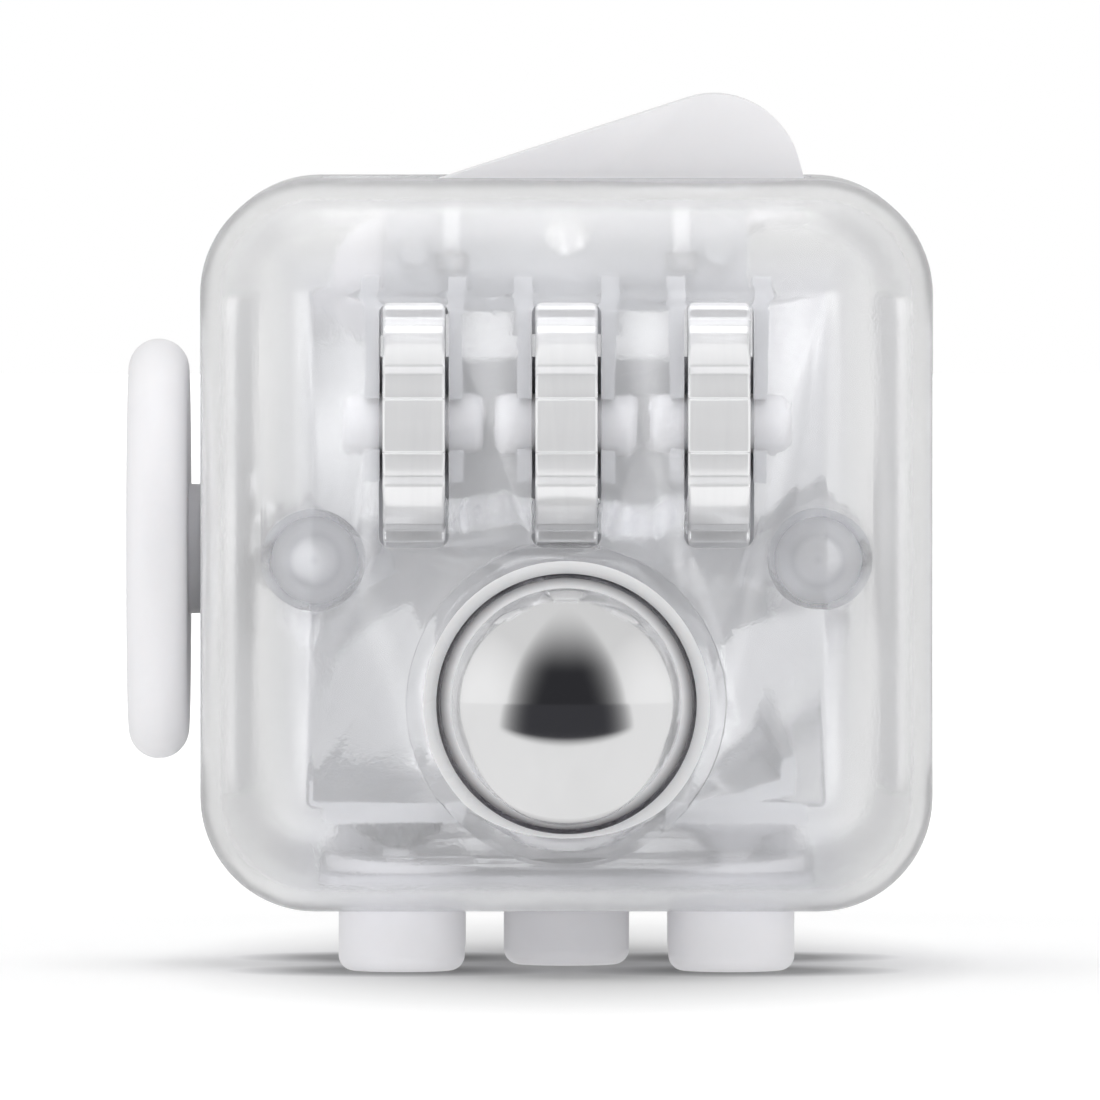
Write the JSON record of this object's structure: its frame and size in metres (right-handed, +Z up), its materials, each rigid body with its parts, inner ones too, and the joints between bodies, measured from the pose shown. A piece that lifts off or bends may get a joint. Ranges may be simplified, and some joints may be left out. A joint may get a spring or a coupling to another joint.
{
  "type": "fidget cube",
  "caption": "Clear rounded desk cube with spinning gear wheels, a steel ball, a rocker switch, a spinning disc, a thumb dish, a joystick and push buttons.",
  "frame": {"origin": "centre of the middle button's underside, on the surface that the cube stands on", "axes": "+Z up through the cube's middle, -Y towards the face with the gears and the ball, +X towards the face with the thumb dish"},
  "size_m": [0.0364, 0.039, 0.0396],
  "materials": {
    "clear_shell": "frosted clear",
    "plate_plastic": "milky satin",
    "inner_plastic": "satin",
    "white_plastic": "satin white",
    "bearing_plastic": "natural, smooth",
    "soft_rubber": "matt",
    "gear_chrome": "polished",
    "ball_chrome": "mirror polished",
    "screw_steel": "zinc plated",
    "spring_steel": "drawn wire and strip"
  },
  "bodies": {
    "cube": {"front_shell": "clear_shell", "rear_cover": "clear_shell", "button_plate": "plate_plastic", "spin_plate": "plate_plastic", "thumb_plate": "plate_plastic", "spin_bush": "bearing_plastic", "gear_bracket": "inner_plastic", "bracket_screws": "screw_steel", "click_spring": "spring_steel", "ball_spring": "spring_steel", "rocker_cradle": "inner_plastic", "rocker_pin": "screw_steel", "joystick_spring": "spring_steel", "joystick_base": "inner_plastic", "base_screws": "screw_steel", "button_board": "inner_plastic", "click_dome_middle": "spring_steel", "click_dome_front_left": "spring_steel", "click_dome_rear_right": "spring_steel", "soft_pad_front_right": "soft_rubber", "soft_pad_rear_left": "soft_rubber"},
    "gear_left": {"gear_left": "gear_chrome", "axle_left": "white_plastic"},
    "gear_middle": {"gear_middle": "gear_chrome", "axle_middle": "white_plastic"},
    "gear_right": {"gear_right": "gear_chrome", "axle_right": "white_plastic"},
    "ball_seat": {"ball_seat": "white_plastic"},
    "ball_ring": {"ball_ring": "bearing_plastic"},
    "ball": {"ball": "ball_chrome"},
    "rocker": {"rocker": "white_plastic", "rocker_plunger": "screw_steel", "rocker_spring": "spring_steel"},
    "spin_disc": {"spin_disc": "white_plastic", "spin_washer": "screw_steel", "spin_screw": "screw_steel"},
    "gimbal": {"joystick_gimbal": "bearing_plastic"},
    "joystick": {"joystick_stick": "white_plastic", "joystick_pad": "soft_rubber"},
    "button_middle": {"button_middle": "white_plastic"},
    "button_front_left": {"button_front_left": "white_plastic"},
    "button_front_right": {"button_front_right": "white_plastic"},
    "button_rear_left": {"button_rear_left": "white_plastic"},
    "button_rear_right": {"button_rear_right": "white_plastic"}
  },
  "joints": [
    {"name": "gear_left_spin", "type": "hinge", "parent": "cube", "child": "gear_left", "pos_m": [-0.00685, -0.0118, 0.0248], "axis": [1, 0, 0], "continuous": true},
    {"name": "gear_middle_spin", "type": "hinge", "parent": "cube", "child": "gear_middle", "pos_m": [0, -0.0118, 0.0248], "axis": [1, 0, 0], "continuous": true},
    {"name": "gear_right_spin", "type": "hinge", "parent": "cube", "child": "gear_right", "pos_m": [0.00685, -0.0118, 0.0248], "axis": [1, 0, 0], "continuous": true},
    {"name": "ball_press", "type": "slide", "parent": "cube", "child": "ball_seat", "axis": [0, 1, 0], "range_m": [0, 0.0006], "stiffness_N_per_m": 900, "springref_m": -0.0006, "deforming": ["ball_spring"]},
    {"name": "ball_turn", "type": "hinge", "parent": "ball_seat", "child": "ball_ring", "pos_m": [0, -0.0134, 0.0123], "axis": [0, 1, 0], "continuous": true},
    {"name": "ball_roll", "type": "hinge", "parent": "ball_ring", "child": "ball", "pos_m": [0, -0.0134, 0.0123], "axis": [1, 0, 0], "continuous": true},
    {"name": "rocker_flip", "type": "hinge", "parent": "cube", "child": "rocker", "pos_m": [0, 0, 0.0335], "axis": [0, 1, 0], "range_deg": [0, 36]},
    {"name": "disc_spin", "type": "hinge", "parent": "cube", "child": "spin_disc", "pos_m": [-0.0165, 0, 0.0189], "axis": [-1, 0, 0], "continuous": true},
    {"name": "joystick_tip", "type": "hinge", "parent": "cube", "child": "gimbal", "pos_m": [0, 0.0065, 0.0193], "axis": [1, 0, 0], "range_deg": [-10, 10], "stiffness_Nm_per_rad": 0.01, "deforming": ["joystick_spring"]},
    {"name": "joystick_sway", "type": "hinge", "parent": "gimbal", "child": "joystick", "pos_m": [0, 0.0065, 0.0193], "axis": [0, 0, 1], "range_deg": [-10, 10], "stiffness_Nm_per_rad": 0.01, "deforming": ["joystick_spring"]},
    {"name": "button_middle_press", "type": "slide", "parent": "cube", "child": "button_middle", "axis": [0, 0, 1], "range_m": [0, 0.0012], "stiffness_N_per_m": 900, "springref_m": -0.0006, "deforming": ["click_dome_middle"]},
    {"name": "button_front_left_press", "type": "slide", "parent": "cube", "child": "button_front_left", "axis": [0, 0, 1], "range_m": [0, 0.0012], "stiffness_N_per_m": 900, "springref_m": -0.0006, "deforming": ["click_dome_front_left"]},
    {"name": "button_front_right_press", "type": "slide", "parent": "cube", "child": "button_front_right", "axis": [0, 0, 1], "range_m": [0, 0.0012], "stiffness_N_per_m": 900, "springref_m": -0.0006, "deforming": ["soft_pad_front_right"]},
    {"name": "button_rear_left_press", "type": "slide", "parent": "cube", "child": "button_rear_left", "axis": [0, 0, 1], "range_m": [0, 0.0012], "stiffness_N_per_m": 900, "springref_m": -0.0006, "deforming": ["soft_pad_rear_left"]},
    {"name": "button_rear_right_press", "type": "slide", "parent": "cube", "child": "button_rear_right", "axis": [0, 0, 1], "range_m": [0, 0.0012], "stiffness_N_per_m": 900, "springref_m": -0.0006, "deforming": ["click_dome_rear_right"]}
  ]
}
